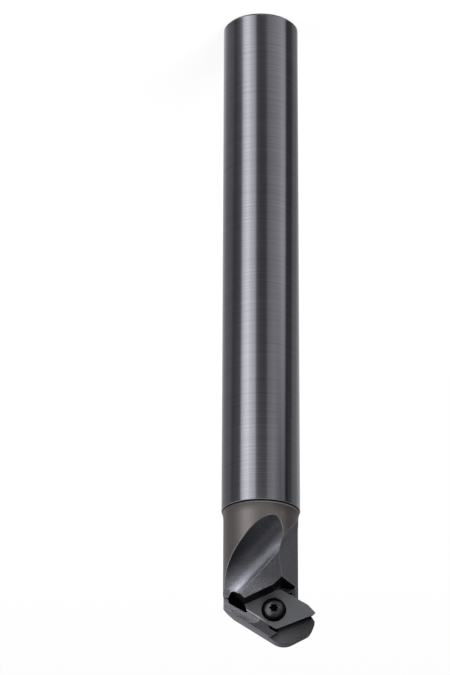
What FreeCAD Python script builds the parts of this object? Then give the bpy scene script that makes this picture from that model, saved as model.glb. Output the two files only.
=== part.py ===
# Boring bar for internal turning: a round steel bar with a cutting head at one end.
# The bar stands on its plain end. Z runs up the axis, the rake side faces -Y,
# and the cutting nose points to -X. All lengths are in millimetres.
import FreeCAD, Part
import math
import os

from FreeCAD import Vector

# Shank, shoulder and neck
BAR_LENGTH = 216.2
HEAD_LENGTH = 42.6
SHANK_DIAMETER = 25.0
SHANK_LENGTH = BAR_LENGTH - HEAD_LENGTH
BACK_CHAMFER = 0.8
NECK_DIAMETER = 23.8
SHOULDER_STEP = 0.12
SHOULDER_LENGTH = 3.2

# Insert screw, whose axis is the datum of the head: heights below count from it
SCREW_REACH = 4.07
SCREW_SETBACK = 10.16
SCREW_HEIGHT = BAR_LENGTH - SCREW_SETBACK
SCREW_THREAD = 4.0
SCREW_LENGTH = 13.0
SCREW_POINT = 0.5
SCREW_HEAD = 7.0
SCREW_HEAD_RISE = 2.2
SCREW_TOP = 4.2
SCREW_RIM = 0.1
THREAD_GAP = 0.05
SOCKET_OUTER = 3.27
SOCKET_INNER = 2.34
SOCKET_DEPTH = 1.7

# Insert: a four-sided plate with one blunted nose and a coned screw hole
INSERT_REACH = 17.4
INSERT_THICKNESS = 3.18
INSERT_CLEARANCE = math.radians(11.0)
INSERT_HOLE = 4.5
SEAT_CONE = 6.6
SEAT_CONE_ANGLE = math.radians(30.0)
RECESS_DIAMETER = 7.8
RECESS_DEPTH = 0.7
SEAT_GAP = 0.02

# Each outline is a list of reach, height from the screw axis, and corner radius
INSERT_CORNERS = [
    (-5.00, -1.76, 0.5),
    (5.93, -6.86, 1.0),
    (14.75, -1.77, 1.0),
    (INSERT_REACH, 1.15, 0.4),
    (4.74, 6.31, 1.4),
    (-4.45, 0.26, 0.4),
]

# Head outline at the rake plane, with clearance and relief under it
NOSE_REACH = 17.25
NOSE_RADIUS = 5.0
FRONT_RADIUS = 6.4
END_ALLOWANCE = 3.0
PAST = 40.0
HEAD_CORNERS = [
    (-PAST / 2, -PAST, 0),
    (NOSE_REACH, -PAST, 0),
    (NOSE_REACH, 5.99, NOSE_RADIUS),
    (7.00, 11.45, FRONT_RADIUS),
    (-PAST / 2, -5.79, 0),
]
FLANK_ANGLE = math.radians(33.3)
FLANK_CLEARANCE = math.radians(5.0)
FLANK_DEPTH = 8.5
RELIEF_ANGLE = math.radians(30.0)

# The nose's side toward the shank stays under the insert's overhang
NOSE_BACK = [
    (0.0, -6.54, 0),
    (14.4, -1.14, 0),
    (NOSE_REACH + 0.3, 3.56, 0),
    (30.0, 34.0, 0),
    (0.0, 34.0, 0),
]

# Round-ended slot past the insert's blunt corner
RELIEF_SLOT = [
    (-10.60, -2.99, 1.25),
    (-9.05, -5.44, 1.25),
    (-5.00, -1.54, 0.2),
    (-3.90, -1.14, 0.2),
    (-4.40, 0.86, 0.4),
]

# Slot past the insert's inner corner, and a small drilled relief beside it
CORNER_SLOT = [
    (5.60, -7.14, 0),
    (6.45, -8.29, 0),
    (11.10, -7.59, 0),
    (8.65, -5.94, 0),
    (9.30, -4.74, 0),
    (6.00, -5.54, 0),
]
RELIEF_HOLE = (9.45, -5.29)
RELIEF_HOLE_DIAMETER = 0.9

# Faces around the insert
SHELF_DROP = 0.05
LEDGE_DROP = 0.15
LEDGE_SLOPE = math.radians(7.0)
LEDGE_END = [
    (2.6, 4.56, 0),
    (2.2, 5.01, 0),
    (3.9, 6.35, 0.3),
    (5.6, 7.00, 0.4),
    (3.4, 8.40, 0.8),
    (0.6, 8.30, 0),
]
SIDE_SLOPE = math.radians(45.0)
SIDE_SLOPE_FOOT = (-11.0, -1.44)
SIDE_SLOPE_DEPTH = 1.0
SIDE_SLOPE_EDGE = -9.6
RUNOUT_RADIUS = 7.0
RUNOUT_DIP = math.radians(7.5)
RUNOUT_START = (-0.8, 4.46)

# Flats on the neck, and the tapered chip groove that crosses it at a slant
CENTRE_FLAT_RISE = 8.0
CENTRE_FLAT_HEIGHT = -7.04
CENTRE_FLAT_SLOPE = math.radians(14.0)
SIDE_FACET_ANGLE = math.radians(28.0)
SIDE_FACET_OFFSET = 9.65
SIDE_FACET_RUNOUT = 6.8
SIDE_FACET_START = -20.14
SIDE_FACET_SKEW = 0.8
GROOVE_RADIUS = 6.83
GROOVE_TAPER = 0.0623
GROOVE_CENTRE = (-1.74, 13.615, -16.04)
GROOVE_TURN = math.radians(44.3)
GROOVE_DIP = math.radians(19.1)


def direction(reach, rise, height):
    """Reach runs to the nose, rise to the rake side, height up the bar."""
    return Vector(-reach, -rise, height)


def point(reach, rise, height):
    """Place on the head, with its height counted from the screw axis."""
    return direction(reach, rise, SCREW_HEIGHT + height)


TO_RAKE = direction(0, 1, 0)
TO_FRONT = direction(-math.sin(FLANK_ANGLE), 0, math.cos(FLANK_ANGLE))
ALONG_FRONT = direction(-math.cos(FLANK_ANGLE), 0, -math.sin(FLANK_ANGLE))


def inset(corners, distance):
    """Move every side of a convex outline inward by one distance."""
    count = len(corners)
    middle_reach = sum(corner[0] for corner in corners) / count
    middle_height = sum(corner[1] for corner in corners) / count
    sides = []
    for index in range(count):
        reach1, height1, _ = corners[index]
        reach2, height2, _ = corners[(index + 1) % count]
        length = math.hypot(reach2 - reach1, height2 - height1)
        a = (height2 - height1) / length
        b = (reach1 - reach2) / length
        if a * (middle_reach - reach1) + b * (middle_height - height1) < 0:
            a, b = -a, -b
        sides.append((a, b, a * reach1 + b * height1 + distance))
    moved = []
    for index in range(count):
        a1, b1, c1 = sides[index - 1]
        a2, b2, c2 = sides[index]
        spread = a1 * b2 - a2 * b1
        reach = (c1 * b2 - c2 * b1) / spread
        height = (a1 * c2 - a2 * c1) / spread
        radius = corners[index][2]
        if radius > 0:
            radius = max(radius - distance, 0.1)
        moved.append((reach, height, radius))
    return moved


def outline(corners, rise):
    """Closed wire of straight sides and rounded corners at one rise."""
    turns = []
    count = len(corners)
    for index in range(count):
        reach, height, radius = corners[index]
        here = point(reach, rise, height)
        before = point(corners[index - 1][0], rise, corners[index - 1][1])
        after = point(corners[(index + 1) % count][0], rise, corners[(index + 1) % count][1])
        back = (before - here).normalize()
        ahead = (after - here).normalize()
        half = back.getAngle(ahead) / 2.0
        cutback = radius / math.tan(half)
        middle = here + (back + ahead).normalize() * (radius / math.sin(half) - radius)
        turns.append((here + back * cutback, middle, here + ahead * cutback))
    edges = []
    for index in range(count):
        start, middle, end = turns[index]
        if corners[index][2] > 0:
            edges.append(Part.Arc(start, middle, end).toShape())
        edges.append(Part.makeLine(end, turns[(index + 1) % count][0]))
    return Part.Wire(edges)


def prism(corners, low, high):
    """Straight-sided block between two rises."""
    return Part.Face(outline(corners, low)).extrude(TO_RAKE * (high - low))


def tapered_prism(corners, wide_rise, narrow_rise, taper):
    """Block whose sides lean inward from the wide rise to the narrow one."""
    shrink = (wide_rise - narrow_rise) * math.tan(taper)
    wires = [outline(corners, wide_rise), outline(inset(corners, shrink), narrow_rise)]
    return Part.makeLoft(wires, True, True)


def half_space(origin, normal):
    """Big block on the side of a plane that its normal points to."""
    size = 2.0 * PAST
    plate = Part.makePlane(size, size, Vector(-PAST, -PAST, 0))
    block = plate.extrude(Vector(0, 0, size))
    turn = FreeCAD.Rotation(Vector(0, 0, 1), normal)
    block.Placement = FreeCAD.Placement(origin, turn)
    return block


def turned_bar():
    """Ground shank, narrow shoulder and plain neck, all turned on one axis."""
    shank = SHANK_DIAMETER / 2.0
    neck = NECK_DIAMETER / 2.0
    edge = shank - SHOULDER_STEP
    middle = Vector(neck + 0.22 * (edge - neck), 0, SHANK_LENGTH + 0.5 * SHOULDER_LENGTH)
    foot = Vector(neck, 0, SHANK_LENGTH + SHOULDER_LENGTH)
    straight = [
        Vector(edge, 0, SHANK_LENGTH),
        Vector(shank, 0, SHANK_LENGTH),
        Vector(shank, 0, BACK_CHAMFER),
        Vector(shank - BACK_CHAMFER, 0, 0),
        Vector(0, 0, 0),
        Vector(0, 0, BAR_LENGTH + END_ALLOWANCE),
        Vector(neck, 0, BAR_LENGTH + END_ALLOWANCE),
        foot,
    ]
    edges = [Part.makeLine(straight[i], straight[i + 1]) for i in range(len(straight) - 1)]
    edges.append(Part.Arc(foot, middle, straight[0]).toShape())
    return Part.Face(Part.Wire(edges)).revolve(Vector(0, 0, 0), Vector(0, 0, 1), 360)


def leaning(level, lean):
    """Level direction turned toward the back of the head."""
    return level * math.cos(lean) - TO_RAKE * math.sin(lean)


def head_envelope():
    """Space the head may fill: clearance under the rake plane, then relief."""
    setback = FLANK_DEPTH * math.tan(FLANK_CLEARANCE)
    relief_end = -1.1 * NECK_DIAMETER / 2.0
    above = prism(HEAD_CORNERS, 0.0, PAST)
    clearance = tapered_prism(HEAD_CORNERS, 0.0, -FLANK_DEPTH, FLANK_CLEARANCE)
    relief = tapered_prism(inset(HEAD_CORNERS, setback), -FLANK_DEPTH, relief_end, RELIEF_ANGLE)
    bore = Part.makeCylinder(NOSE_REACH + 0.3, 2.0 * PAST, Vector(0, 0, SCREW_HEIGHT - PAST))
    return above.fuse([clearance, relief]).common(bore)


def nose():
    """Block that carries the insert out past the neck on the reach side."""
    upper = prism(NOSE_BACK, -FLANK_DEPTH, -INSERT_THICKNESS)
    lower = tapered_prism(NOSE_BACK, -FLANK_DEPTH, -NECK_DIAMETER / 2.0, RELIEF_ANGLE)
    return upper.fuse(lower)


def front_waste():
    """Everything at the head end that lies outside the head envelope."""
    start = SHANK_LENGTH + SHOULDER_LENGTH
    block = Part.makeBox(2.0 * PAST, 2.0 * PAST, 2.0 * PAST, Vector(-PAST, -PAST, start))
    return block.cut(head_envelope())


def chip_groove():
    """Round tapered groove crossing the neck at a slant, deeper toward the front."""
    level = math.cos(GROOVE_DIP)
    axis = direction(-math.sin(GROOVE_TURN) * level, -math.sin(GROOVE_DIP), math.cos(GROOVE_TURN) * level)
    start = point(*GROOVE_CENTRE) - axis * PAST
    wide = GROOVE_RADIUS + PAST * GROOVE_TAPER
    narrow = GROOVE_RADIUS - PAST * GROOVE_TAPER
    return Part.makeCone(wide, narrow, 2.0 * PAST, start, axis)


def centre_flat():
    """Material above the sloped flat between groove and side facet."""
    normal = direction(0, math.cos(CENTRE_FLAT_SLOPE), math.sin(CENTRE_FLAT_SLOPE))
    return half_space(point(0, CENTRE_FLAT_RISE, CENTRE_FLAT_HEIGHT), normal)


def side_facet():
    """Flat on the nose side of the neck that curves out at its shank end."""
    normal = direction(math.cos(SIDE_FACET_ANGLE), math.sin(SIDE_FACET_ANGLE), 0)
    level = direction(math.sin(SIDE_FACET_ANGLE), -math.cos(SIDE_FACET_ANGLE), 0)
    along = (level - Vector(0, 0, SIDE_FACET_SKEW)).normalize()
    across = along.cross(normal)
    if across.z > 0:
        across = -across
    foot = point(0, 0, SIDE_FACET_START) + normal * SIDE_FACET_OFFSET - along * PAST
    radius = SIDE_FACET_RUNOUT

    def curve(angle):
        return foot + across * (radius * math.sin(angle)) + normal * (radius * (1 - math.cos(angle)))

    bend = math.radians(75.0)
    deep = foot - across * PAST
    high = curve(bend) + normal * PAST
    edges = [
        Part.makeLine(deep, foot),
        Part.Arc(foot, curve(bend / 2.0), curve(bend)).toShape(),
        Part.makeLine(curve(bend), high),
        Part.makeLine(high, deep + normal * PAST),
        Part.makeLine(deep + normal * PAST, deep),
    ]
    return Part.Face(Part.Wire(edges)).extrude(along * 2.0 * PAST)


def beside(corner, share, gap):
    """Place along one side of the insert's top face, moved outward by a gap."""
    reach1, height1, _ = INSERT_CORNERS[corner]
    reach2, height2, _ = INSERT_CORNERS[(corner + 1) % len(INSERT_CORNERS)]
    length = math.hypot(reach2 - reach1, height2 - height1)
    reach = reach1 + share * (reach2 - reach1) + gap * (height2 - height1) / length
    height = height1 + share * (height2 - height1) - gap * (reach2 - reach1) / length
    return (reach, height, 0)


def upper_space():
    """Open space over the insert and in front of the tall pocket wall."""
    far_reach, far_height, _ = CORNER_SLOT[2]
    wall = [
        (SIDE_SLOPE_EDGE, RELIEF_SLOT[0][1] + 0.85, 0),
        beside(0, 0.0, SEAT_GAP),
        beside(0, 0.79, SEAT_GAP),
        CORNER_SLOT[1],
        (far_reach + 0.1, far_height, 0),
        (PAST, far_height, 0),
        (PAST, PAST, 0),
        (SIDE_SLOPE_EDGE, PAST, 0),
    ]
    return prism(wall, -SHELF_DROP, PAST)


def ledge():
    """Ledge beside the insert, sloping down to the front flank."""
    reach, height, _ = INSERT_CORNERS[-1]
    normal = TO_RAKE * math.cos(LEDGE_SLOPE) + TO_FRONT * math.sin(LEDGE_SLOPE)
    above = half_space(point(reach, -LEDGE_DROP, height), normal)
    return above.common(half_space(point(reach, 0, height), TO_FRONT))


def side_slope():
    """Slope from the groove down to the ledge, past the end of the slot."""
    reach, height = SIDE_SLOPE_FOOT
    normal = TO_RAKE * math.sin(SIDE_SLOPE) + TO_FRONT * math.cos(SIDE_SLOPE)
    above = half_space(point(reach, -SIDE_SLOPE_DEPTH, height), normal)
    return above.common(half_space(point(SIDE_SLOPE_EDGE, 0, height), direction(-1, 0, 0)))


def runout():
    """Shallow round channel in the ledge, deeper away from the insert's nose."""
    along = leaning(ALONG_FRONT, RUNOUT_DIP)
    reach, height = RUNOUT_START
    start = point(reach, RUNOUT_RADIUS - LEDGE_DROP, height) - along * 10.0
    channel = Part.makeCylinder(RUNOUT_RADIUS, PAST, start, along)
    reach, height, _ = INSERT_CORNERS[-1]
    return channel.common(half_space(point(reach, 0, height), TO_FRONT))


def seat():
    """Pocket for the insert with leaning walls, open toward the nose."""
    floor = -INSERT_THICKNESS
    pocket = tapered_prism(inset(INSERT_CORNERS, -SEAT_GAP), 0.0, floor, INSERT_CLEARANCE)
    front = LEDGE_END + [
        (-2.0, 10.96, 0),
        (10.0, 24.0, 0),
        (PAST, 24.0, 0),
        (PAST, 12.46, 0),
        (12.0, -3.69, 0),
    ]
    reach, height = RELIEF_HOLE
    radius = RELIEF_HOLE_DIAMETER / 2.0
    drill = Part.makeCylinder(radius, PAST, point(reach, floor, height), TO_RAKE)
    return [
        pocket,
        prism(front, floor, PAST),
        prism(CORNER_SLOT, floor, PAST),
        prism(RELIEF_SLOT, floor, PAST),
        drill,
    ]


def bar_body():
    """One piece of steel: shank, neck, head and nose."""
    body = turned_bar()
    for tool in [side_facet(), centre_flat(), chip_groove(), upper_space()]:
        body = body.cut(tool)
    body = body.fuse(nose())
    for tool in [side_slope(), ledge(), runout()] + seat() + [front_waste()]:
        body = body.cut(tool)
    hole_radius = SCREW_THREAD / 2.0 + THREAD_GAP
    hole = Part.makeCylinder(hole_radius, 2.0 * PAST, point(SCREW_REACH, -PAST, 0), TO_RAKE)
    return body.cut(hole).removeSplitter()


def turned_on_screw_axis(profile):
    """Solid from a profile of radius and rise pairs; four numbers make an arc."""
    def at(radius, rise):
        return point(SCREW_REACH + radius, rise, 0)

    edges = []
    here = at(*profile[0])
    for step in profile[1:] + profile[:1]:
        end = at(*step[-2:])
        if len(step) == 4:
            edges.append(Part.Arc(here, at(*step[:2]), end).toShape())
        else:
            edges.append(Part.makeLine(here, end))
        here = end
    return Part.Face(Part.Wire(edges)).revolve(point(SCREW_REACH, 0, 0), TO_RAKE, 360)


def cone_foot(radius):
    """Rise at which the coned seat has narrowed to a radius."""
    return -RECESS_DEPTH - (SEAT_CONE / 2.0 - radius) / math.tan(SEAT_CONE_ANGLE)


def insert():
    """Cutting insert: plate with leaning sides and a coned screw hole."""
    plate = tapered_prism(INSERT_CORNERS, 0.0, -INSERT_THICKNESS, INSERT_CLEARANCE)
    hole = INSERT_HOLE / 2.0
    recess = RECESS_DIAMETER / 2.0
    opening = [
        (0.0, -2.0 * INSERT_THICKNESS),
        (hole, -2.0 * INSERT_THICKNESS),
        (hole, cone_foot(hole)),
        (SEAT_CONE / 2.0, -RECESS_DEPTH),
        (recess, -RECESS_DEPTH),
        (recess, INSERT_THICKNESS),
        (0.0, INSERT_THICKNESS),
    ]
    return plate.cut(turned_on_screw_axis(opening))


def socket():
    """Six-lobe socket space in the screw head."""
    points = []
    for index in range(12):
        radius = (SOCKET_OUTER if index % 2 == 0 else SOCKET_INNER) / 2.0
        angle = math.radians(30.0 * index)
        reach = SCREW_REACH + radius * math.cos(angle)
        points.append(point(reach, SCREW_HEAD_RISE, radius * math.sin(angle)))
    curve = Part.BSplineCurve()
    curve.interpolate(Points=points, PeriodicFlag=True)
    return Part.Face(Part.Wire([curve.toShape()])).extrude(TO_RAKE * -SOCKET_DEPTH)


def clamp_screw():
    """Screw that holds the insert: coned seat and a raised round head."""
    thread = SCREW_THREAD / 2.0
    head = SCREW_HEAD / 2.0
    top = SCREW_TOP / 2.0
    tip = SCREW_HEAD_RISE - SCREW_LENGTH
    shoulder = (head + top) / 2.0 + 0.34
    profile = [
        (0.0, tip),
        (thread - SCREW_POINT, tip),
        (thread, tip + SCREW_POINT),
        (thread, cone_foot(thread)),
        (SEAT_CONE / 2.0, -RECESS_DEPTH),
        (head, -RECESS_DEPTH + head - SEAT_CONE / 2.0),
        (head, SCREW_RIM),
        (shoulder, SCREW_RIM + 0.55 * (SCREW_HEAD_RISE - SCREW_RIM), top, SCREW_HEAD_RISE),
        (0.0, SCREW_HEAD_RISE),
    ]
    return turned_on_screw_axis(profile).cut(socket())


os.makedirs("parts", exist_ok=True)
for node, build in [("bar_body", bar_body), ("insert", insert), ("clamp_screw", clamp_screw)]:
    solids = build().Solids
    solid = solids[0]
    print(node, "solids", len(solids), "valid", solid.isValid(), "volume", round(solid.Volume, 1))
    print("   top", round(solid.BoundBox.ZMax, 2), "reach", round(-solid.BoundBox.XMin, 2))
    solid.exportStep("parts/" + node + ".step")
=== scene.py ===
# %% [markdown]
# # A boring bar for internal turning
#
# The object is a round steel bar, 25 mm thick and 216 mm long. Its shank is
# ground to fit a holder. Its head is milled: a slanted groove lets the chips
# out, and a small carbide insert sits in a pocket, held by a black screw.
#
# The CAD model already has every real form, so Blender's part is the finish
# of each surface, the light and the camera. Nothing is added to the shapes.

# %% Load the fixed frame
import math

import bpy
from mathutils import Matrix, Vector

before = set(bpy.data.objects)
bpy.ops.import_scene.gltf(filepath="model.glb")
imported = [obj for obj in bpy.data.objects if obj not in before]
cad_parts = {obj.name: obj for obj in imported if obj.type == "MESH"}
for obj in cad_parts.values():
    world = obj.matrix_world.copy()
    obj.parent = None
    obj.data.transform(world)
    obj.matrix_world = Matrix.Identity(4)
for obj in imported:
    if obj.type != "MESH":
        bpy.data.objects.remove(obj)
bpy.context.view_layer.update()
print("CAD nodes:", sorted(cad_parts))

# %% [markdown]
# ## Colours and nodes
#
# Colours are written as sRGB hex values, as a paint chart gives them. Cycles
# calculates in linear light, so one function converts them. A second small
# function adds a node, sets it up and links it, which keeps every material
# below readable from top to bottom.

# %% Colour
def linear(hex_colour):
    """Linear RGBA from an sRGB hex colour."""
    channels = []
    for start in (1, 3, 5):
        value = int(hex_colour[start:start + 2], 16) / 255
        if value <= 0.04045:
            channels.append(value / 12.92)
        else:
            channels.append(((value + 0.055) / 1.055) ** 2.4)
    return (*channels, 1.0)


print("mid grey in linear light:", round(linear("#808080")[0], 3))

# %% One function for nodes
def add(tree, kind, settings=None, inputs=None):
    """Add one node; an input that is a socket is linked, any other is set."""
    node = tree.nodes.new("ShaderNode" + kind)
    for name, value in (settings or {}).items():
        setattr(node, name, value)
    for name, value in (inputs or {}).items():
        if isinstance(value, bpy.types.NodeSocket):
            tree.links.new(value, node.inputs[name])
        else:
            node.inputs[name].default_value = value
    return node


def new_material(name):
    """Empty node material with its output node."""
    material = bpy.data.materials.new(name)
    material.use_nodes = True
    material.node_tree.nodes.clear()
    return material, material.node_tree, add(material.node_tree, "OutputMaterial")


print("helpers:", add.__name__, new_material.__name__)

# %% [markdown]
# ## Regions and layers
#
# A real machined part is one piece of metal with many finishes: each tool
# leaves its own. A material can hold them all if it knows where the surface
# is. A region is a share from 0 to 1 that is 1 where all its limits hold, and
# layers are laid over each other like coats of paint, each on its own region.
# Splitting the mesh into several materials would also work, but the shape is
# fixed, and regions can end in a soft edge.
#
# A limit is a value with two numbers: the region is off at the first and on
# from the second. A region goes into another one as (region, 0, 1), or as
# (region, 1, 0) where it is to stay out.

# %% Regions and layers
def region(tree, *limits):
    """Share that is 1 where every (value, off, on) limit holds."""
    share = None
    for value, off, on in limits:
        rise = add(tree, "MapRange", inputs={
            "Value": value, "From Min": off, "From Max": on,
        }).outputs["Result"]
        if share is not None:
            rise = add(tree, "Math", {"operation": "MULTIPLY"}, {
                0: share, 1: rise,
            }).outputs[0]
        share = rise
    return share


def layers(tree, kind, base, *coats):
    """Lay (share, coat) pairs over a base; kind is RGBA or FLOAT."""
    under, over, result = {"FLOAT": (2, 3, 0), "RGBA": (6, 7, 2)}[kind]
    for share, coat in coats:
        base = add(tree, "Mix", {"data_type": kind}, {
            0: share, under: base, over: coat,
        }).outputs[result]
    return base


print("helpers:", region.__name__, layers.__name__)

# %% [markdown]
# ## Camera
#
# The view looks down on the head of the standing bar from 23 degrees above
# level, and the picture is turned so that the head is at the bottom. A long
# lens from about a metre away keeps the bar's sides nearly parallel. The
# camera's axes are built from that tilt and turn, which says more to a reader
# than a row of rotation angles.

# %% Camera
TILT = math.radians(23.0)
TURN = math.radians(180.2737)
EYE = Vector((0.0116346, -0.936978, 0.511068))
FOCAL_LENGTH = 166.925  # mm
SENSOR_SIZE = 36.0  # mm, along the picture's longer side
NEAREST = 0.01  # m

level = Vector((1, 0, 0))
rising = Vector((0, math.sin(TILT), math.cos(TILT)))
right = level * math.cos(TURN) + rising * math.sin(TURN)
up = rising * math.cos(TURN) - level * math.sin(TURN)
back = Vector((0, -math.cos(TILT), math.sin(TILT)))

lens = bpy.data.cameras.new("Camera")
lens.lens = FOCAL_LENGTH
lens.sensor_width = SENSOR_SIZE
lens.clip_start = NEAREST
camera = bpy.data.objects.new("Camera", lens)
turned_axes = Matrix((right, up, back)).transposed().to_4x4()
camera.matrix_world = Matrix.Translation(EYE) @ turned_axes
bpy.context.scene.collection.objects.link(camera)
bpy.context.scene.camera = camera
print("camera stands", round(EYE.length, 3), "m from the bar's foot")

# %% [markdown]
# ## The studio that the steel mirrors
#
# A polished round bar shows its surroundings as long stripes. In a studio
# those are tall softboxes with dark gaps between them. Modelled lamps would do
# it too, but here the world itself holds them: the brightness depends on the
# compass direction, so each stripe runs the whole length of the bar, without
# noise. The camera sees plain white instead.
#
# Such a room is darker than an evenly white one, so the steel renders darker
# than its colours are written. In a plain white room the same materials give a
# light to mid grey bar without stripes.

# %% Directions in the room
world = bpy.data.worlds.new("studio")
world.use_nodes = True
tree = world.node_tree
tree.nodes.clear()
direction = add(tree, "TexCoord").outputs["Generated"]
heading = add(tree, "SeparateXYZ", inputs={"Vector": direction}).outputs
west, south = [
    add(tree, "Math", {"operation": "MULTIPLY"}, {
        0: heading[axis], 1: -1.0,
    }).outputs[0]
    for axis in ("X", "Y")
]
compass = add(tree, "Math", {"operation": "ARCTAN2"}, {0: west, 1: south}).outputs[0]
print("compass runs from south, over west, to north")

# %% [markdown]
# The camera looks down, so the upright shank mirrors the room at 23 degrees
# below level, and the far side of the groove mirrors it lower still. Low down
# the softboxes lean and turn to the side, as boxes do that hang at a slant,
# which puts the groove's light stripe where a slanted box would put it. The
# lean is almost nothing straight in front and grows towards the sides.

# %% Softboxes that lean
# Two heights, where -1 is straight down, and the turn at each in radians.
SPREAD = (-0.60, -0.485, 0.75, 0.0)
LEAN = (-0.485, -0.34, -0.21, 0.0)

spread, lean = [
    add(tree, "MapRange", inputs={
        "Value": heading["Z"], "From Min": low, "From Max": high,
        "To Min": first, "To Max": last,
    }).outputs["Result"]
    for low, high, first, last in (SPREAD, LEAN)
]
sideways = add(tree, "Math", {"operation": "SUBTRACT"}, {0: 1.0, 1: south}).outputs[0]
lean = add(tree, "Math", {"operation": "MULTIPLY"}, {0: lean, 1: sideways}).outputs[0]
turned = compass
for turn in (spread, lean):
    turned = add(tree, "Math", {"operation": "ADD"}, {0: turned, 1: turn}).outputs[0]
print("turn of the lowest softboxes:", SPREAD[2], "radians")

# %% [markdown]
# The stripes themselves are one colour ramp round the compass. Each pair is a
# direction in degrees, with 0 in front of the rake side, and a brightness.

# %% Tall softboxes
SOFTBOX_STRIPES = [
    (-180, 0.55), (-160, 0.38), (-145, 0.23), (-128, 0.175), (-104, 0.13),
    (-97, 0.06), (-80, 0.08), (-66, 0.10), (-61, 0.70), (-52, 1.02), (-42, 1.22),
    (-32, 0.88), (-18, 0.60), (-14, 0.14), (-8, 0.10), (0, 0.06), (15, 0.055),
    (20, 0.20), (30, 0.245), (40, 0.30), (50, 0.34), (60, 0.45), (66, 0.52),
    (73, 0.44), (76, 0.05), (96, 0.05), (106, 0.17), (124, 0.20),
    (145, 0.40), (180, 0.55),
]
COOLNESS = 1.02  # a softbox is a touch blue


def glow(strength):
    """Colour of a softbox or a wall of this brightness."""
    return (strength, strength, strength * COOLNESS, 1.0)


share = region(tree, (turned, -math.pi, math.pi))
stripes = add(tree, "ValToRGB", inputs={"Fac": share})
ramp = stripes.color_ramp
while len(ramp.elements) < len(SOFTBOX_STRIPES):
    ramp.elements.new(0.5)
for element, (degrees, _) in zip(ramp.elements, SOFTBOX_STRIPES):
    element.position = (degrees + 180) / 360
for element, (_, strength) in zip(ramp.elements, SOFTBOX_STRIPES):
    element.color = glow(strength)
print("softbox stripes:", len(SOFTBOX_STRIPES))

# %% [markdown]
# The flats, the insert and the nose look upwards, past the softboxes, at the
# walls and the ceiling. A few soft patches there give each flat its own grey,
# as a white wall or a dark doorway would.

# %% Walls and ceiling
CEILING = ((-0.20, 0.42), (0.08, 0.24), (0.40, 0.06))  # height, brightness
WALL_START, WALL_FULL = -0.36, -0.20  # heights where the walls take over
ROOM_PATCHES = [  # limits as (axis, off, on), and the brightness there
    ([("X", 0.20, 0.50), ("Z", 0.50, 0.30)], 0.15),
    ([("X", 0.20, 0.50), ("Z", 0.30, 0.50)], 0.45),
    ([("Y", 0.50, 0.80)], 0.17),
    ([("Y", 0.50, 0.80), ("X", 0.10, 0.32)], 0.48),
    ([("X", -0.45, -0.70)], 0.12),
]

height = region(tree, (heading["Z"], -1.0, 1.0))
ceiling = add(tree, "ValToRGB", inputs={"Fac": height})
ceiling.color_ramp.elements.new(0.5)
for element, (place, strength) in zip(ceiling.color_ramp.elements, CEILING):
    element.position = (place + 1) / 2
    element.color = glow(strength)
patches = []
for limits, strength in ROOM_PATCHES:
    inside = region(tree, *[(heading[axis], off, on) for axis, off, on in limits])
    patches.append((inside, glow(strength)))
roof = layers(tree, "RGBA", ceiling.outputs["Color"], *patches)
upward = region(tree, (heading["Z"], WALL_START, WALL_FULL))
sky = layers(tree, "RGBA", stripes.outputs["Color"], (upward, roof))
print("patches on walls and ceiling:", len(patches))

# %% [markdown]
# Last come the strength, brighter low down where the boxes stand close and
# weaker right under the bar, and the switch that shows the camera plain white.

# %% Strength and background
# Height from and to, and the strength at each.
LOW_BOXES = (-0.62, -0.44, 2.2, 1.0)
UNDER_BAR = (-0.86, -0.74, 0.55, 1.0)
WHITE = (1, 1, 1, 1)

power = 1.0
for low, high, first, last in (LOW_BOXES, UNDER_BAR):
    change = add(tree, "MapRange", inputs={
        "Value": heading["Z"], "From Min": low, "From Max": high,
        "To Min": first, "To Max": last,
    }).outputs["Result"]
    power = add(tree, "Math", {"operation": "MULTIPLY"}, {
        0: change, 1: power,
    }).outputs[0]
studio = add(tree, "Background", inputs={"Color": sky, "Strength": power})
backdrop = add(tree, "Background", inputs={"Color": WHITE})
chosen = add(tree, "MixShader", inputs={
    0: add(tree, "LightPath").outputs["Is Camera Ray"],
    1: studio.outputs[0], 2: backdrop.outputs[0],
})
add(tree, "OutputWorld", inputs={"Surface": chosen.outputs[0]})
bpy.context.scene.world = world
print("world nodes:", len(tree.nodes))

# %% [markdown]
# ## Floor
#
# The bar stands on white paper. The paper is matt and keeps the bar's shadow,
# and for the camera most of it glows, so that it is as white as the
# background without more light on the steel. Mirror rays pass through it,
# because a large white floor would wash out the dark stripes of the shank.

# %% Floor
FLOOR_SIZE = 40.0  # m
PAPER_GLOW = 0.85  # share of the paper that glows for the camera
GLOW_STRENGTH = 1.04

half = FLOOR_SIZE / 2
corners = [(-half, -half, 0), (half, -half, 0), (half, half, 0), (-half, half, 0)]
sheet = bpy.data.meshes.new("floor")
sheet.from_pydata(corners, [], [(0, 1, 2, 3)])
floor = bpy.data.objects.new("floor", sheet)
bpy.context.scene.collection.objects.link(floor)

material, tree, output = new_material("white_matt_paper")
rays = add(tree, "LightPath").outputs
paper = add(tree, "BsdfDiffuse", inputs={"Color": linear("#f2f2f2")}).outputs[0]
light = add(tree, "Emission", inputs={
    "Color": WHITE, "Strength": GLOW_STRENGTH,
}).outputs[0]
clear = add(tree, "BsdfTransparent").outputs[0]
seen = add(tree, "MixShader", inputs={0: PAPER_GLOW, 1: paper, 2: light}).outputs[0]
plain = add(tree, "MixShader", inputs={
    0: rays["Is Camera Ray"], 1: paper, 2: seen,
}).outputs[0]
unseen = add(tree, "Math", {"operation": "MAXIMUM"}, {
    0: rays["Is Glossy Ray"], 1: rays["Is Shadow Ray"],
}).outputs[0]
surface = add(tree, "MixShader", inputs={0: unseen, 1: plain, 2: clear})
tree.links.new(surface.outputs[0], output.inputs["Surface"])
sheet.materials.append(material)
print("floor:", FLOOR_SIZE, "m square")

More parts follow.
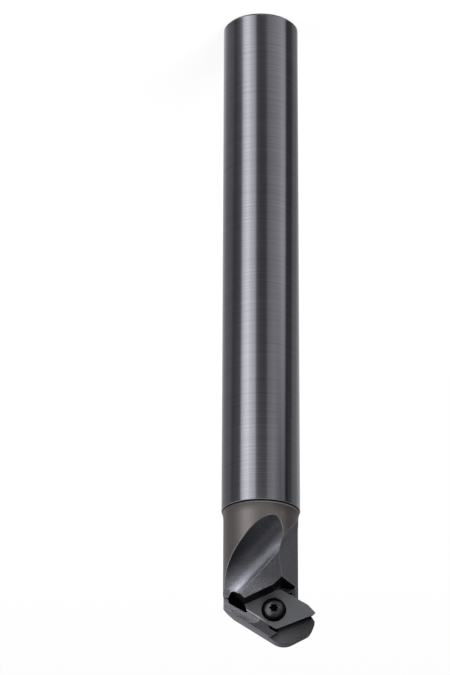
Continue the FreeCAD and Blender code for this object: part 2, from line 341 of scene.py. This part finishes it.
# %% [markdown]
# ## Lamps
#
# Two soft square lamps, high in front and at the side, fill the parts that
# aren't mirror-like and throw the soft shadow. They stay out of reflections,
# where the world's softboxes already are.

# %% Soft lamps
AIM = Vector((0, 0, 0.15))
LAMPS = [  # name, place and size in m, power in W
    ("lamp_high", (-0.6, -0.9, 1.6), 0.9, 34.0),
    ("lamp_side", (1.2, -0.3, 1.1), 0.8, 14.0),
]

for name, place, size, watts in LAMPS:
    light = bpy.data.lights.new(name, "AREA")
    light.size = size
    light.energy = watts
    lamp = bpy.data.objects.new(name, light)
    lamp.location = place
    lamp.rotation_euler = (AIM - Vector(place)).to_track_quat("-Z", "Y").to_euler()
    lamp.visible_glossy = False
    bpy.context.scene.collection.objects.link(lamp)
    print(name, "at", place)

# %% [markdown]
# ## Streaks that a tool leaves
#
# Grinding, turning and milling all leave fine parallel lines. One noise
# pattern makes them all: space is squeezed in the direction across the lines,
# so the noise changes quickly there and slowly along them. A wave texture
# would be quicker, but its lines are all alike, and real ones aren't.
#
# Every material works in millimetres, so that each number is one that could
# be measured on the bar.

# %% Streaks
MM = 0.001


def in_millimetres(tree):
    """Place on the object in mm, and the surface's own direction."""
    place = add(tree, "TexCoord").outputs
    scaled = add(tree, "VectorMath", {"operation": "SCALE"}, {
        0: place["Object"], "Scale": 1 / MM,
    })
    return scaled.outputs[0], place["Normal"]


def streaks(tree, position, across, spacing, length):
    """Noise drawn out into lines; spacing and length are in mm."""
    across = Vector(across).normalized()
    slow = add(tree, "VectorMath", {"operation": "SCALE"}, {
        0: position, "Scale": 1 / length,
    })
    along = add(tree, "VectorMath", {"operation": "DOT_PRODUCT"}, {
        0: position, 1: across,
    })
    quick = add(tree, "Math", {"operation": "MULTIPLY"}, {
        0: along.outputs["Value"], 1: 1 / spacing - 1 / length,
    })
    extra = add(tree, "VectorMath", {"operation": "SCALE"}, {
        0: tuple(across), "Scale": quick.outputs[0],
    })
    squeezed = add(tree, "VectorMath", {"operation": "ADD"}, {
        0: slow.outputs[0], 1: extra.outputs[0],
    })
    return add(tree, "TexNoise", inputs={
        "Vector": squeezed.outputs[0], "Scale": 1.0, "Detail": 2.0, "Roughness": 0.6,
    }).outputs["Fac"]


print("helpers:", in_millimetres.__name__, streaks.__name__)

# %% [markdown]
# ## Worn edges and dark corners
#
# Every real edge is broken by a file or by handling. It is a little rounder than the
# CAD edge and bare, and its shine is painted in as a lighter colour. The Bevel node
# gives a rounded direction near an edge without new geometry, and where that differs
# from the true one, there is an edge. Deep corners do the reverse: Ambient Occlusion
# finds them, and they are painted darker as shade, with the oil and oxide that stay
# there.

# %% Worn edges and dark corners
SAME = 0.998  # how alike the two directions are on a plain face
CLOSED, OPEN = 0.15, 0.6  # share of the light that reaches a corner or a face


def worn_edges(tree, radius, sharpness):
    """Share of open surface, 0 on a worn edge, and the rounded direction."""
    rounded = add(tree, "Bevel", {"samples": 6}, {
        "Radius": radius * MM,
    }).outputs["Normal"]
    match = add(tree, "VectorMath", {"operation": "DOT_PRODUCT"}, {
        0: rounded, 1: add(tree, "NewGeometry").outputs["Normal"],
    }).outputs["Value"]
    return region(tree, (match, 1.0 - 1.0 / sharpness, SAME)), rounded


def dark_corners(tree, colour, reach, spared):
    """Paint shade into corners deeper than about reach mm, except where spared is 1.
    """
    nearby = add(tree, "AmbientOcclusion", {"samples": 8}, {"Distance": reach * MM})
    share = region(tree, (nearby.outputs["AO"], CLOSED, OPEN))
    share = add(tree, "Math", {"operation": "MAXIMUM"}, {
        0: share, 1: spared,
    }).outputs[0]
    return layers(tree, "RGBA", linear("#0c0c0e"), (share, colour))


def dress(node_name, material):
    """Give a CAD node its material."""
    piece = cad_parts[node_name]
    piece.data.materials.clear()
    piece.data.materials.append(material)
    print(node_name, "->", material.name)


print("helpers:", worn_edges.__name__, dark_corners.__name__, dress.__name__)

# %% [markdown]
# ## Bar steel
#
# The bar is alloy steel, hardened and given a dark oxide. The shank was then
# ground between centres, which leaves fine rings and a cold grey shine. The
# neck kept its turned, brownish skin. The groove and the flats were milled
# and show faint streaks. It is one solid, so one material holds all the
# finishes and picks them by where the surface is.
#
# First come the measures that the regions use: height along the bar, distance
# from its axis, and how far a point lies along some slanted directions.

# %% Where a point of the bar is
GROOVE_AXIS = (0.6600, 0.3272, 0.6763)
FLAT_FACING = (0.0, -0.9703, 0.2419)
FRONT_FACING = (0.5383, 0.0, 0.8428)
TO_POCKET = (0.5, 0.0, 0.866)

steel, tree, output = new_material("dark_oxide_alloy_steel_ground_and_milled")
position, normal = in_millimetres(tree)
at = add(tree, "SeparateXYZ", inputs={"Vector": position}).outputs
facing = add(tree, "SeparateXYZ", inputs={"Vector": normal}).outputs
off_axis = add(tree, "VectorMath", {"operation": "MULTIPLY"}, {
    0: position, 1: (1, 1, 0),
}).outputs[0]
radius = add(tree, "VectorMath", {"operation": "LENGTH"}, {
    0: off_axis,
}).outputs["Value"]
down_groove, to_flat, to_front, to_pocket = [
    add(tree, "VectorMath", {"operation": "DOT_PRODUCT"}, {
        0: position, 1: slanted,
    }).outputs["Value"]
    for slanted in (GROOVE_AXIS, FLAT_FACING, FRONT_FACING, TO_POCKET)
]
print("nodes for the measures:", len(tree.nodes) - 1)

# %% [markdown]
# The neck's skin is whatever lies on the 11.9 mm cylinder and looks straight
# outwards. The looking-outwards part keeps the skin off the groove's wall,
# which comes within a hair of the cylinder at its edge. All limits are in
# millimetres, apart from those on directions, which are cosines.

# %% Shank and neck
SHOULDER = 173.6
BACK_CHAMFER = 0.8
NECK_RADIUS = 11.9
SHOULDER_TAPER = 3.2
ALIKE = (0.97, 0.98)  # cosine between two directions that count as the same

on_head = region(tree, (at["Z"], SHOULDER - 0.03, SHOULDER + 0.03))
near_shoulder = region(tree, (
    at["Z"], SHOULDER + SHOULDER_TAPER + 0.1, SHOULDER + SHOULDER_TAPER,
))
outward = add(tree, "VectorMath", {"operation": "NORMALIZE"}, {0: off_axis}).outputs[0]
turned_face = add(tree, "VectorMath", {"operation": "DOT_PRODUCT"}, {
    0: outward, 1: normal,
}).outputs["Value"]
on_cylinder = region(
    tree, (radius, NECK_RADIUS + 0.06, NECK_RADIUS + 0.04), (turned_face, *ALIKE),
)
turned_skin = add(tree, "Math", {"operation": "MAXIMUM"}, {
    0: on_cylinder, 1: near_shoulder,
}).outputs[0]
on_neck = region(
    tree, (radius, NECK_RADIUS - 0.08, NECK_RADIUS - 0.06),
    (turned_skin, 0, 1), (on_head, 0, 1),
)
at_end = region(tree, (at["Z"], BACK_CHAMFER + 0.05, BACK_CHAMFER - 0.05))
print("neck radius:", NECK_RADIUS, "mm")

# %% [markdown]
# The walls of the insert's pocket and of its relief slot are painted almost black as
# shade, deep in a narrow gap. The seat under the insert lies 3 mm or more behind the
# bar's axis, and only its open end is left out of the painted shade in the corners.

# %% Pocket, seat and relief slot
SCREW_HEIGHT = 206.04
SCREW_CENTRE = (-4.07, 0.0, SCREW_HEIGHT)
FRONT_REACH = 5.886
POCKET_START, POCKET_END = 196.0, 208.5  # heights
POCKET_SIDE = 10.45
SEAT_DEPTH = 3.0
# The rest are pairs: where the region is off, and where it is on.
STEEP, LEVEL = (0.40, 0.36), (-0.90, -0.97)
SLOT_EDGE = (3.2, 3.6)
BLUNT_CORNER_SIDE, BLUNT_CORNER_TOP = (-5.4, -5.8), (212.9, 213.1)
NOSE_LENGTH = (-1.0, -13.0)

front = FRONT_FACING[2] * SCREW_HEIGHT + FRONT_REACH
steepness = add(tree, "Math", {"operation": "ABSOLUTE"}, {0: facing["Y"]}).outputs[0]
in_pocket = region(
    tree, (steepness, *STEEP),
    (at["Z"], POCKET_START, POCKET_START + 0.1),
    (at["Z"], POCKET_END, POCKET_END - 0.1),
    (radius, NECK_RADIUS - 0.1, NECK_RADIUS - 0.2),
    (at["Y"], SEAT_DEPTH + 0.6, SEAT_DEPTH + 0.4),
    (to_front, front - 0.8, front - 0.9),
    (at["X"], POCKET_SIDE, POCKET_SIDE - 0.1),
)
behind_seat = region(tree, (at["Y"], SEAT_DEPTH, SEAT_DEPTH + 0.1))
level_seat = region(tree, (behind_seat, 0, 1), (facing["Y"], *LEVEL))
in_slot = region(tree, (level_seat, 0, 1), (at["X"], *SLOT_EDGE))
past_blunt_corner = add(tree, "Math", {"operation": "MAXIMUM"}, {
    0: region(tree, (at["X"], *BLUNT_CORNER_SIDE)),
    1: region(tree, (at["Z"], *BLUNT_CORNER_TOP)),
}).outputs[0]
open_seat = region(tree, (level_seat, 0, 1), (past_blunt_corner, 0, 1))
# Painted shade: the nose is coloured darker towards negative X.
shaded_nose_side = region(tree, (behind_seat, 0, 1), (at["X"], *NOSE_LENGTH))
print("front of the head:", round(front, 2), "mm along its own direction")

# %% [markdown]
# The groove was cut by a large round cutter. Its wall turns through many directions,
# and light and shade on it are painted as lighter and darker stripes that follow the
# surface's own direction: shade on the near side and the floor, light on the far side.
# Its end by the pocket is painted lighter as light too, so that stripe also follows
# the place along the groove.

# %% Groove
# Directions of the groove's wall, as pairs of off and on.
OPEN_TO_RAKE, NOT_UP, LEANING_UP = (-0.50, -0.60), (0.50, 0.45), (0.15, 0.35)
FLOOR_TURN, FAR_TURN, NEAR_TURN = (0.01, 0.15), (0.34, 0.52), (-0.10, -0.35)
# Places along the groove's axis.
FLOOR_REACH, NEAR_REACH, END_REACH = (133.0, 126.0), (118.0, 130.0), (132.5, 139.0)

in_groove = region(tree, (facing["Y"], *OPEN_TO_RAKE), (facing["Z"], *NOT_UP))
shaded_groove_floor = region(
    tree, (in_groove, 0, 1), (facing["X"], *FLOOR_TURN), (down_groove, *FLOOR_REACH),
)
lit_groove_far_side = region(tree, (in_groove, 0, 1), (facing["X"], *FAR_TURN))
lit_groove_end = region(tree, (in_groove, 0, 1), (down_groove, *END_REACH))
shaded_groove_near_side = region(
    tree, (facing["X"], *NEAR_TURN), (facing["Z"], *LEANING_UP),
    (down_groove, *NEAR_REACH),
)
print("stripes of the groove:", "floor, far side, end, near side")

# %% [markdown]
# The flats are told apart by where they lie and where they look. The ledge under the
# insert's front edge has a black line of painted shadow beside the insert's blunt
# corner.

# %% Flats and ledge
FLAT_PLACE, FLAT_TOLERANCE = 55.9005, 0.05  # along its own direction
POCKET_SHARE = (169.5, 176.0)  # of the flat, along the way to the pocket
FACET_FACING = (-0.8829, -0.4695, 0.0)
LEDGE_FACING = (0.0669, -0.9925, 0.1019)
SHADOW_LINE_EDGE = (177.35, 177.15)  # along the front's direction
SHADOW_LINE_START = (-2.2, -2.9)

on_flat = add(tree, "Math", {"operation": "COMPARE"}, {
    0: to_flat, 1: FLAT_PLACE, 2: FLAT_TOLERANCE,
}).outputs[0]
lit_flat_by_pocket = region(tree, (to_pocket, *POCKET_SHARE), (on_flat, 0, 1))
on_facet, like_ledge = [
    region(tree, (add(tree, "VectorMath", {"operation": "DOT_PRODUCT"}, {
        0: normal, 1: looking,
    }).outputs["Value"], *ALIKE))
    for looking in (FACET_FACING, LEDGE_FACING)
]
on_ledge = region(
    tree, (at["Y"], 0.0, 0.1), (at["Y"], SEAT_DEPTH, SEAT_DEPTH - 0.1),
    (like_ledge, 0, 1),
)
ledge_shadow_line = region(
    tree, (on_ledge, 0, 1), (to_front, *SHADOW_LINE_EDGE), (at["X"], *SHADOW_LINE_START),
)
print("flats found:", "rake flat, side facet, ledge under the insert")

# %% [markdown]
# Where the cutter that made the seat ran out of the steel, it left a bright
# hollow. It is part of a cylinder, so a point is on it if it is as far from
# the cutter's axis as the cutter's radius.

# %% Run-out of the seat cutter
RUNOUT_AXIS = (0.8286, 0.1305, -0.5443)
RUNOUT_PLACE = (0.8, -6.85, 210.5)
RUNOUT_RADIUS = 7.0
RUNOUT_TOLERANCE = 0.04
RUNOUT_START = (-4.0, -3.9)

from_cutter = add(tree, "VectorMath", {"operation": "SUBTRACT"}, {
    0: position, 1: RUNOUT_PLACE,
})
across = add(tree, "VectorMath", {"operation": "CROSS_PRODUCT"}, {
    0: from_cutter.outputs[0], 1: RUNOUT_AXIS,
})
reach = add(tree, "VectorMath", {"operation": "LENGTH"}, {
    0: across.outputs[0],
}).outputs["Value"]
on_cutter = add(tree, "Math", {"operation": "COMPARE"}, {
    0: reach, 1: RUNOUT_RADIUS, 2: RUNOUT_TOLERANCE,
}).outputs[0]
on_runout = region(
    tree, (on_cutter, 0, 1), (at["X"], *RUNOUT_START), (at["Y"], 0.0, 0.1),
)
print("run-out radius:", RUNOUT_RADIUS, "mm")

# %% [markdown]
# Tool marks. A grinding wheel leaves rings some hundredths of a millimetre
# apart, and a milling cutter's marks are 0.1 to 0.2 mm apart. A pixel of the
# picture is about 0.3 mm, so both are drawn coarser, at 0.35 to 0.5 mm, or
# they wouldn't show. The patches of the heat-treated skin are about 11 mm.

# %% Tool marks
MARKS = (  # direction across the marks, spacing and length in mm
    ((0, 0, 1), 0.35, 40.0),  # rings of the grinding wheel
    (GROOVE_AXIS, 0.45, 4.0),
    ((1, 0, 0), 0.5, 12.0),  # rake flat
    ((0.45, -0.8, 0.4), 0.5, 12.0),  # side facet
)
SKIN_PATCH = 11.1  # mm

rings, groove_marks, flat_marks, facet_marks = [
    streaks(tree, position, *mark) for mark in MARKS
]
cuts = layers(
    tree, "FLOAT", groove_marks, (on_flat, flat_marks), (on_facet, facet_marks),
)
marks = layers(tree, "FLOAT", rings, (on_head, cuts), (on_neck, rings))
clouds = add(tree, "TexNoise", inputs={
    "Vector": position, "Scale": 1 / SKIN_PATCH, "Detail": 3.0,
}).outputs["Fac"]
print("steel nodes so far:", len(tree.nodes))

# %% [markdown]
# Colours of the shank and the neck. Ground steel is a cold light grey. The shank gets
# a little darker towards its far end, and one side of it has a darker patch near the
# neck. The neck's skin is warmer: steel that was tempered in air turns straw and
# brown. One side of the neck is painted darker and browner as shade.

# %% Ground shank and tempered neck
FAR_END_TONE = (0.72, 0.72, 0.72, 1.0)
FAR_END_START = 150.0  # height where the shank begins to darken
# Darker patch: its heights, on the front half of the shank, and its two sides.
PATCH_HEIGHTS, PATCH_FRONT = (85.0, 165.0), (1.0, -1.0)
PATCH_INNER_SIDE, PATCH_OUTER_SIDE = (-4.0, -6.0), (-8.8, -8.0)
SHADED_NECK_SIDE = (8.0, -8.0)  # across the neck

ground = layers(tree, "RGBA", linear("#a9a9b3"), (rings, linear("#d2d2d9")))
far_end = region(tree, (at["Z"], FAR_END_START, 0.0))
ground = add(tree, "Mix", {"data_type": "RGBA", "blend_type": "MULTIPLY"}, {
    0: far_end, 6: ground, 7: FAR_END_TONE,
}).outputs[2]
darker_patch = region(
    tree, (at["X"], *PATCH_INNER_SIDE), (at["X"], *PATCH_OUTER_SIDE),
    (at["Y"], *PATCH_FRONT), (at["Z"], *PATCH_HEIGHTS), (on_head, 1, 0),
)
ground = layers(tree, "RGBA", ground, (darker_patch, linear("#7e7e86")))
# Painted shade: one side of the neck is coloured darker and browner.
shaded_neck_side = region(tree, (at["X"], *SHADED_NECK_SIDE))
skin = layers(
    tree, "RGBA", linear("#b8b3b0"),
    (shaded_neck_side, linear("#9a8f88")), (clouds, linear("#aaa4a1")),
)
print("film of oil from", PATCH_HEIGHTS[0], "to", SHOULDER, "mm")

# %% [markdown]
# Colours of the milled head. Milled and lightly oxidised steel is a mid grey. Faces
# that the cutter left smoother are lighter. Light and shade are painted in too: the
# groove's lighter and darker stripes, the lighter part of the flat by the pocket, the
# darker side of the nose and the darker ledge. The oxide has a fine grit of 0.05 to
# 0.1 mm, drawn at 0.4 mm so that it shows.

# %% Milled head
GRIT = 0.4  # mm
GRIT_DARKNESS = 0.45
GRIT_LIMITS = (0.42, 0.66)  # noise values between which the grit comes in

bright_cut = layers(tree, "RGBA", linear("#c2c2ca"), (marks, linear("#dcdce2")))
milled = layers(
    tree, "RGBA", linear("#8e8f96"),
    (marks, linear("#b0b1b9")),
    # Painted light and shade: darker near side and floor, lighter far side and end of
    # the groove.
    (shaded_groove_near_side, linear("#6e6e74")),
    (shaded_groove_floor, linear("#7c7d84")),
    (lit_groove_far_side, linear("#a6a7b0")),
    (lit_groove_end, linear("#cdced8")),
    # Painted light: the flat is coloured lighter towards the pocket.
    (lit_flat_by_pocket, linear("#e0e1ea")),
    (behind_seat, linear("#b4b5bb")),
    (shaded_nose_side, linear("#78787c")),
    # Painted shade: the ledge is coloured a little darker.
    (on_ledge, linear("#88888e")),
    (on_runout, bright_cut),
)
grit = add(tree, "TexNoise", inputs={
    "Vector": position, "Scale": 1 / GRIT, "Detail": 2.0,
}).outputs["Fac"]
grit = add(tree, "Math", {"operation": "MULTIPLY"}, {
    0: region(tree, (grit, *GRIT_LIMITS)), 1: GRIT_DARKNESS,
}).outputs[0]
milled = layers(tree, "RGBA", milled, (grit, linear("#5c5d64")))
print("grit drawn at", GRIT, "mm")

# %% [markdown]
# At the shoulder the ground shank ends in a sharp corner with a dark line beside it,
# of oxide where the wheel never reached and of painted shade, and a thin painted
# highlight where the turned corner catches the light. The chamfer at the back end is
# painted dark as shade too.

# %% Shoulder line
DARK_LINE = 0.50  # mm from the shoulder
LIGHT_LINE = 0.95
LIT_SIDE = (8.0, -4.0)

shoulder_line = region(
    tree, (on_head, 0, 1), (at["Z"], SHOULDER + DARK_LINE, SHOULDER + DARK_LINE - 0.1),
)
shoulder_highlight = region(
    tree, (at["Z"], SHOULDER + LIGHT_LINE, SHOULDER + LIGHT_LINE - 0.15),
    (at["Z"], SHOULDER + DARK_LINE, SHOULDER + DARK_LINE + 0.1),
    (at["X"], *LIT_SIDE),
)
# Painted shade line at the shoulder, a painted highlight beside it, and a painted dark
# end chamfer.
colour = layers(
    tree, "RGBA", ground,
    (on_head, milled), (on_neck, skin),
    (shoulder_line, linear("#1c1b1c")), (shoulder_highlight, linear("#e8e2de")),
    (at_end, linear("#3a3a3e")),
)
print("light line is", round(LIGHT_LINE - DARK_LINE, 2), "mm wide")

# %% [markdown]
# Roughness tells ground from milled steel: a ground face blurs a reflection by
# 0.11 to 0.17, a milled one by 0.34 to 0.44. The edges are worn only in
# places, so a cloud pattern keeps some of them as they were cut.

# %% Roughness and worn edges
GROUND_ROUGH, MILLED_ROUGH = (0.11, 0.17), (0.34, 0.44)  # between and on marks
TURNED_ROUGH, RUBBED_ROUGH = 0.40, 0.60
EDGE_RADIUS, EDGE_SHARPNESS = 0.30, 25.0  # radius in mm
UNTOUCHED = (0.62, 0.40)  # cloud values from worn to untouched

smooth, streaked = GROUND_ROUGH
ground_roughness = layers(tree, "FLOAT", smooth, (rings, streaked))
smooth, streaked = MILLED_ROUGH
milled_roughness = layers(tree, "FLOAT", smooth, (marks, streaked))
rough = layers(
    tree, "FLOAT", ground_roughness,
    (on_head, milled_roughness), (on_neck, TURNED_ROUGH),
    (shoulder_highlight, RUBBED_ROUGH), (at_end, TURNED_ROUGH),
)
unworn, soft_normal = worn_edges(tree, EDGE_RADIUS, EDGE_SHARPNESS)
for share in (region(tree, (clouds, *UNTOUCHED)), shoulder_line, at_end):
    unworn = add(tree, "Math", {"operation": "MAXIMUM"}, {
        0: unworn, 1: share,
    }).outputs[0]
print("edges are rounded by", EDGE_RADIUS, "mm")

# %% [markdown]
# The parts meet in the shader. The cutter's marks still show in the pocket's walls,
# which are painted almost black as shade. A worn edge is bare and slightly matt, which
# a metallic value of 0.8 gives. Everything else is full metal with the default IOR.
# The bump is a hundredth of a millimetre high, as fine machining leaves it.

# %% Steel shader
# Bare worn edges, painted light as an edge highlight too.
BARE_EDGE_AND_HIGHLIGHT = linear("#e4e4e8")
CORNER_REACH = 3.5  # mm
MARK_HEIGHT = 0.01  # mm

# Painted shade: pocket walls and relief slot coloured almost black, with the cutter's
# marks.
pocket_shade = layers(tree, "RGBA", linear("#18181b"), (marks, linear("#36363b")))
colour = layers(
    tree, "RGBA", BARE_EDGE_AND_HIGHLIGHT,
    (unworn, colour), (in_pocket, pocket_shade), (in_slot, pocket_shade),
    # Painted shadow: a black line on the ledge beside the insert.
    (ledge_shadow_line, linear("#0c0c0e")),
)
# Painted shade in deep corners.
colour = dark_corners(tree, colour, CORNER_REACH, open_seat)
rough = layers(
    tree, "FLOAT", RUBBED_ROUGH, (unworn, rough), (in_pocket, RUBBED_ROUGH),
)
metallic = layers(tree, "FLOAT", 0.80, (unworn, 1.0))
bumps = add(tree, "Bump", inputs={
    "Strength": 0.25, "Distance": MARK_HEIGHT * MM,
    "Height": marks, "Normal": soft_normal,
})
metal = add(tree, "BsdfPrincipled", inputs={
    "Base Color": colour, "Metallic": metallic, "Roughness": rough,
    "Normal": bumps.outputs[0],
})
tree.links.new(metal.outputs[0], output.inputs["Surface"])
dress("bar_body", steel)
print("steel nodes:", len(tree.nodes))

# %% [markdown]
# ## Insert
#
# The insert is tungsten carbide powder, pressed, sintered and ground on a
# diamond wheel. To the eye it is a darker and finer grey than steel, with a
# soft sheen. The grain of carbide is about a thousandth of a millimetre, so
# the one drawn here is far coarser, 0.6 mm, and only makes the sheen uneven.
# The wheel's marks are drawn at 0.35 mm for the same reason.

# %% Carbide surface
GRAIN = 0.625  # mm, drawn coarser than it is
WHEEL_MARKS = ((0.55, 0, 0.83), 0.35, 8.0)  # across, spacing and length in mm
INSERT_EDGE = (0.14, 14.0)  # radius in mm, sharpness

carbide, tree, output = new_material("sintered_carbide_diamond_ground")
position, normal = in_millimetres(tree)
at = add(tree, "SeparateXYZ", inputs={"Vector": position}).outputs
facing = add(tree, "SeparateXYZ", inputs={"Vector": normal}).outputs
wheel_marks = streaks(tree, position, *WHEEL_MARKS)
grain = add(tree, "TexNoise", inputs={
    "Vector": position, "Scale": 1 / GRAIN, "Detail": 2.0,
}).outputs["Fac"]
unworn, soft_normal = worn_edges(tree, *INSERT_EDGE)
print("carbide grain:", GRAIN, "mm")

# %% [markdown]
# Three places differ from the flat face: the ring round the screw, which is in shade,
# the front flank, painted black as shade over the nose, and the edge away from the
# tip, with a bright line along it.

# %% Places on the insert
SCREW_RING = 3.88  # mm, radius of the shaded ring
TO_EDGE = (0.55, 0.0, 0.835)  # direction across the edge with the bright line
BRIGHT_LINE_PLACE = (174.15, 174.45)  # along that direction, in mm
BRIGHT_LINE_START = (-1.5, 0.5)  # X in mm, where the bright line fades in

from_screw = add(tree, "VectorMath", {"operation": "SUBTRACT"}, {
    0: position, 1: SCREW_CENTRE,
})
flat_offset = add(tree, "VectorMath", {"operation": "MULTIPLY"}, {
    0: from_screw.outputs[0], 1: (1, 0, 1),
})
reach = add(tree, "VectorMath", {"operation": "LENGTH"}, {
    0: flat_offset.outputs[0],
}).outputs["Value"]
past_ring = region(tree, (reach, SCREW_RING, SCREW_RING + 0.06))
on_top = region(tree, (facing["Y"], -0.5, -0.9))
# Painted shade: the front flank is coloured black.
shaded_front_flank = region(tree, (facing["Z"], 0.0, 0.3))
to_edge = add(tree, "VectorMath", {"operation": "DOT_PRODUCT"}, {
    0: position, 1: TO_EDGE,
}).outputs["Value"]
bright_edge_line = region(tree, (to_edge, *BRIGHT_LINE_PLACE), (at["X"], *BRIGHT_LINE_START))
print("dark ring ends", SCREW_RING, "mm from the screw's axis")

# %% Carbide shader
GRAIN_HEIGHT = 0.005  # mm

ground_carbide = layers(
    tree, "RGBA", linear("#797a7e"), (wheel_marks, linear("#8b8c91")),
)
# Worn edges are painted light as an edge highlight too.
top = layers(
    tree, "RGBA", linear("#d8d8dc"),
    (unworn, ground_carbide), (bright_edge_line, linear("#f4f4f6")),
)
colour = layers(tree, "RGBA", top, (shaded_front_flank, linear("#141416")), (on_top, top))
colour = layers(tree, "RGBA", linear("#0a0a0b"), (past_ring, colour))
bumps = add(tree, "Bump", inputs={
    "Strength": 0.2, "Distance": GRAIN_HEIGHT * MM,
    "Height": grain, "Normal": soft_normal,
})
metal = add(tree, "BsdfPrincipled", inputs={
    "Base Color": colour, "Metallic": 0.78,
    "Roughness": layers(tree, "FLOAT", 0.38, (grain, 0.48)),
    "Normal": bumps.outputs[0],
})
tree.links.new(metal.outputs[0], output.inputs["Surface"])
dress("insert", carbide)

# %% [markdown]
# ## Screw
#
# The screw is heat-treated steel with a black oxide: a dark, slightly oily skin. A
# painted highlight lies to one side of the head, so it shows as a light crescent
# beside the socket. The six-lobe socket is painted black inside as shade, and so is
# the rim, down in its counterbore.

# %% Black oxide surface
GLINT_SPOT = (2.1, 0.0, 0.2)  # mm from the screw's axis
OXIDE_PATCH = 1.1  # mm
SCREW_EDGE = (0.12, 20.0)  # radius in mm, sharpness

oxide, tree, output = new_material("black_oxide_screw_steel")
position, normal = in_millimetres(tree)
at = add(tree, "SeparateXYZ", inputs={"Vector": position}).outputs
clouds = add(tree, "TexNoise", inputs={
    "Vector": position, "Scale": 1 / OXIDE_PATCH, "Detail": 3.0,
}).outputs["Fac"]
unworn, soft_normal = worn_edges(tree, *SCREW_EDGE)
from_screw = add(tree, "VectorMath", {"operation": "SUBTRACT"}, {
    0: position, 1: SCREW_CENTRE,
})
flat_offset = add(tree, "VectorMath", {"operation": "MULTIPLY"}, {
    0: from_screw.outputs[0], 1: (1, 0, 1),
}).outputs[0]
off_glint = add(tree, "VectorMath", {"operation": "SUBTRACT"}, {
    0: flat_offset, 1: GLINT_SPOT,
}).outputs[0]
from_centre, from_glint = [
    add(tree, "VectorMath", {"operation": "LENGTH"}, {0: place}).outputs["Value"]
    for place in (flat_offset, off_glint)
]
print("rubbed spot:", GLINT_SPOT)

# %% Black oxide shader
SOCKET_DEPTH, SOCKET_RADIUS = 2.17, 1.80  # mm
RIM = (2.60, 3.10)  # mm from the axis, where the head is painted black as shade
GLINT_SIZE = (2.60, 1.20)  # mm from the spot's middle, where it is off and on

in_socket = region(
    tree, (at["Y"], -SOCKET_DEPTH, -SOCKET_DEPTH + 0.12),
    (from_centre, SOCKET_RADIUS, SOCKET_RADIUS - 0.05),
)
at_rim = region(tree, (from_centre, *RIM))
# Painted highlight: a light crescent to one side of the head.
painted_glint = region(tree, (from_glint, *GLINT_SIZE))
# Painted shade: the socket and the rim are coloured black.
black = add(tree, "Math", {"operation": "MAXIMUM"}, {
    0: in_socket, 1: at_rim,
}).outputs[0]
dome = layers(
    tree, "RGBA", linear("#4c4c52"),
    (clouds, linear("#606066")), (painted_glint, linear("#a6a6ac")),
)
# Worn edges are painted light as an edge highlight too.
colour = layers(
    tree, "RGBA", linear("#e8e8ec"), (unworn, dome), (black, linear("#0e0e0f")),
)
coat = add(tree, "BsdfPrincipled", inputs={
    "Base Color": colour, "Metallic": 0.9,
    "Roughness": layers(tree, "FLOAT", 0.24, (clouds, 0.36)),
    "Normal": soft_normal,
})
tree.links.new(coat.outputs[0], output.inputs["Surface"])
dress("clamp_screw", oxide)

# %% [markdown]
# ## View
#
# The Standard view transform shows a colour as it is written. Nothing was added to the
# bar.

# %% View settings
bpy.context.scene.view_settings.view_transform = "Standard"
print("view:", bpy.context.scene.view_settings.view_transform)
